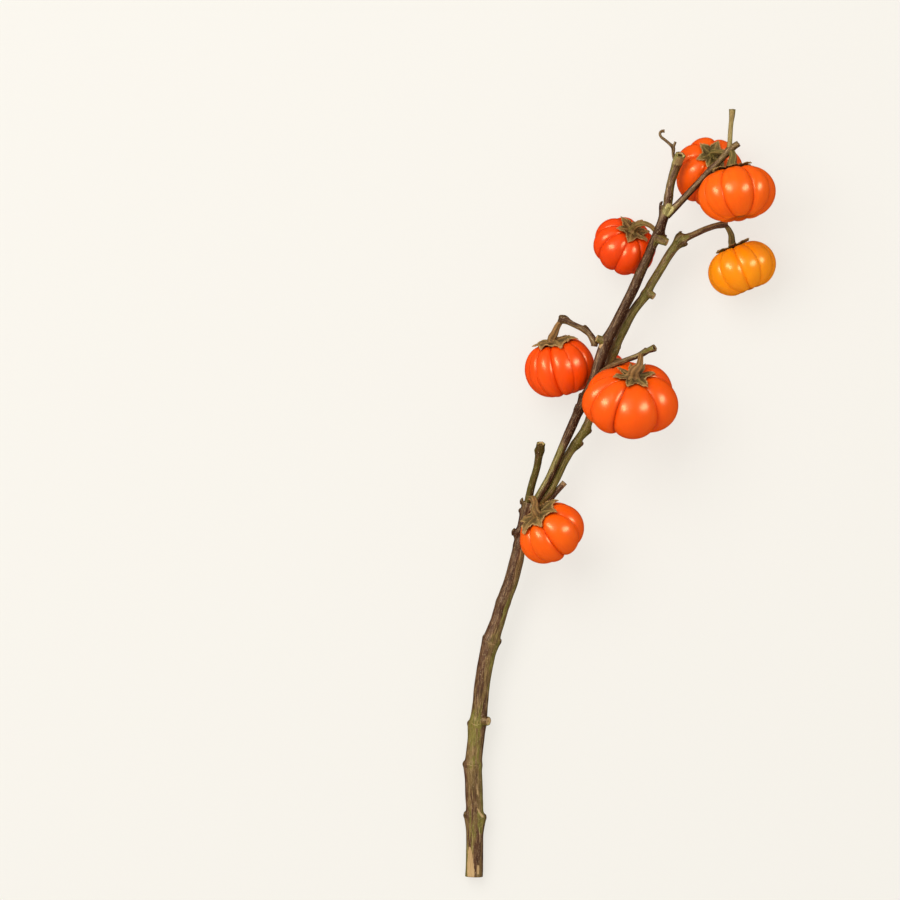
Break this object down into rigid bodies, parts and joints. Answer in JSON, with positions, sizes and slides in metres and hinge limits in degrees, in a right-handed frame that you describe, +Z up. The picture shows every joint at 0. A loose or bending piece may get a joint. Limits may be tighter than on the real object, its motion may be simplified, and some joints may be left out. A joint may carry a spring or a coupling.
{
  "type": "fruiting pumpkin tree branch",
  "caption": "Cut woody branch with forked twigs, dry star calyces and glossy ribbed orange fruits like small pumpkins, lying on a surface; for dried and autumn displays.",
  "frame": {"origin": "on the surface that the branch lies on, under the middle of its bounding box", "axes": "+Y runs from the cut foot of the stem to the twig tips, +X to the right as the branch is seen from above, +Z up from the surface"},
  "size_m": [0.2204, 0.5378, 0.0921],
  "materials": {
    "bark": "matte",
    "dry_calyx": "matte",
    "orange_skin": "gloss",
    "yellow_orange_skin": "gloss",
    "red_orange_skin": "gloss"
  },
  "bodies": {
    "root": {"stem": "bark", "fruit_top_back": "orange_skin", "fruit_top_front": "orange_skin", "fruit_yellow": "yellow_orange_skin", "fruit_upper_left": "red_orange_skin", "fruit_left": "red_orange_skin", "fruit_large": "orange_skin", "fruit_small_back": "red_orange_skin", "fruit_low": "orange_skin", "calyx_top_back": "dry_calyx", "calyx_top_front": "dry_calyx", "calyx_yellow": "dry_calyx", "calyx_upper_left": "dry_calyx", "calyx_left": "dry_calyx", "calyx_large": "dry_calyx", "calyx_small_back": "dry_calyx", "calyx_low": "dry_calyx"}
  },
  "joints": []
}
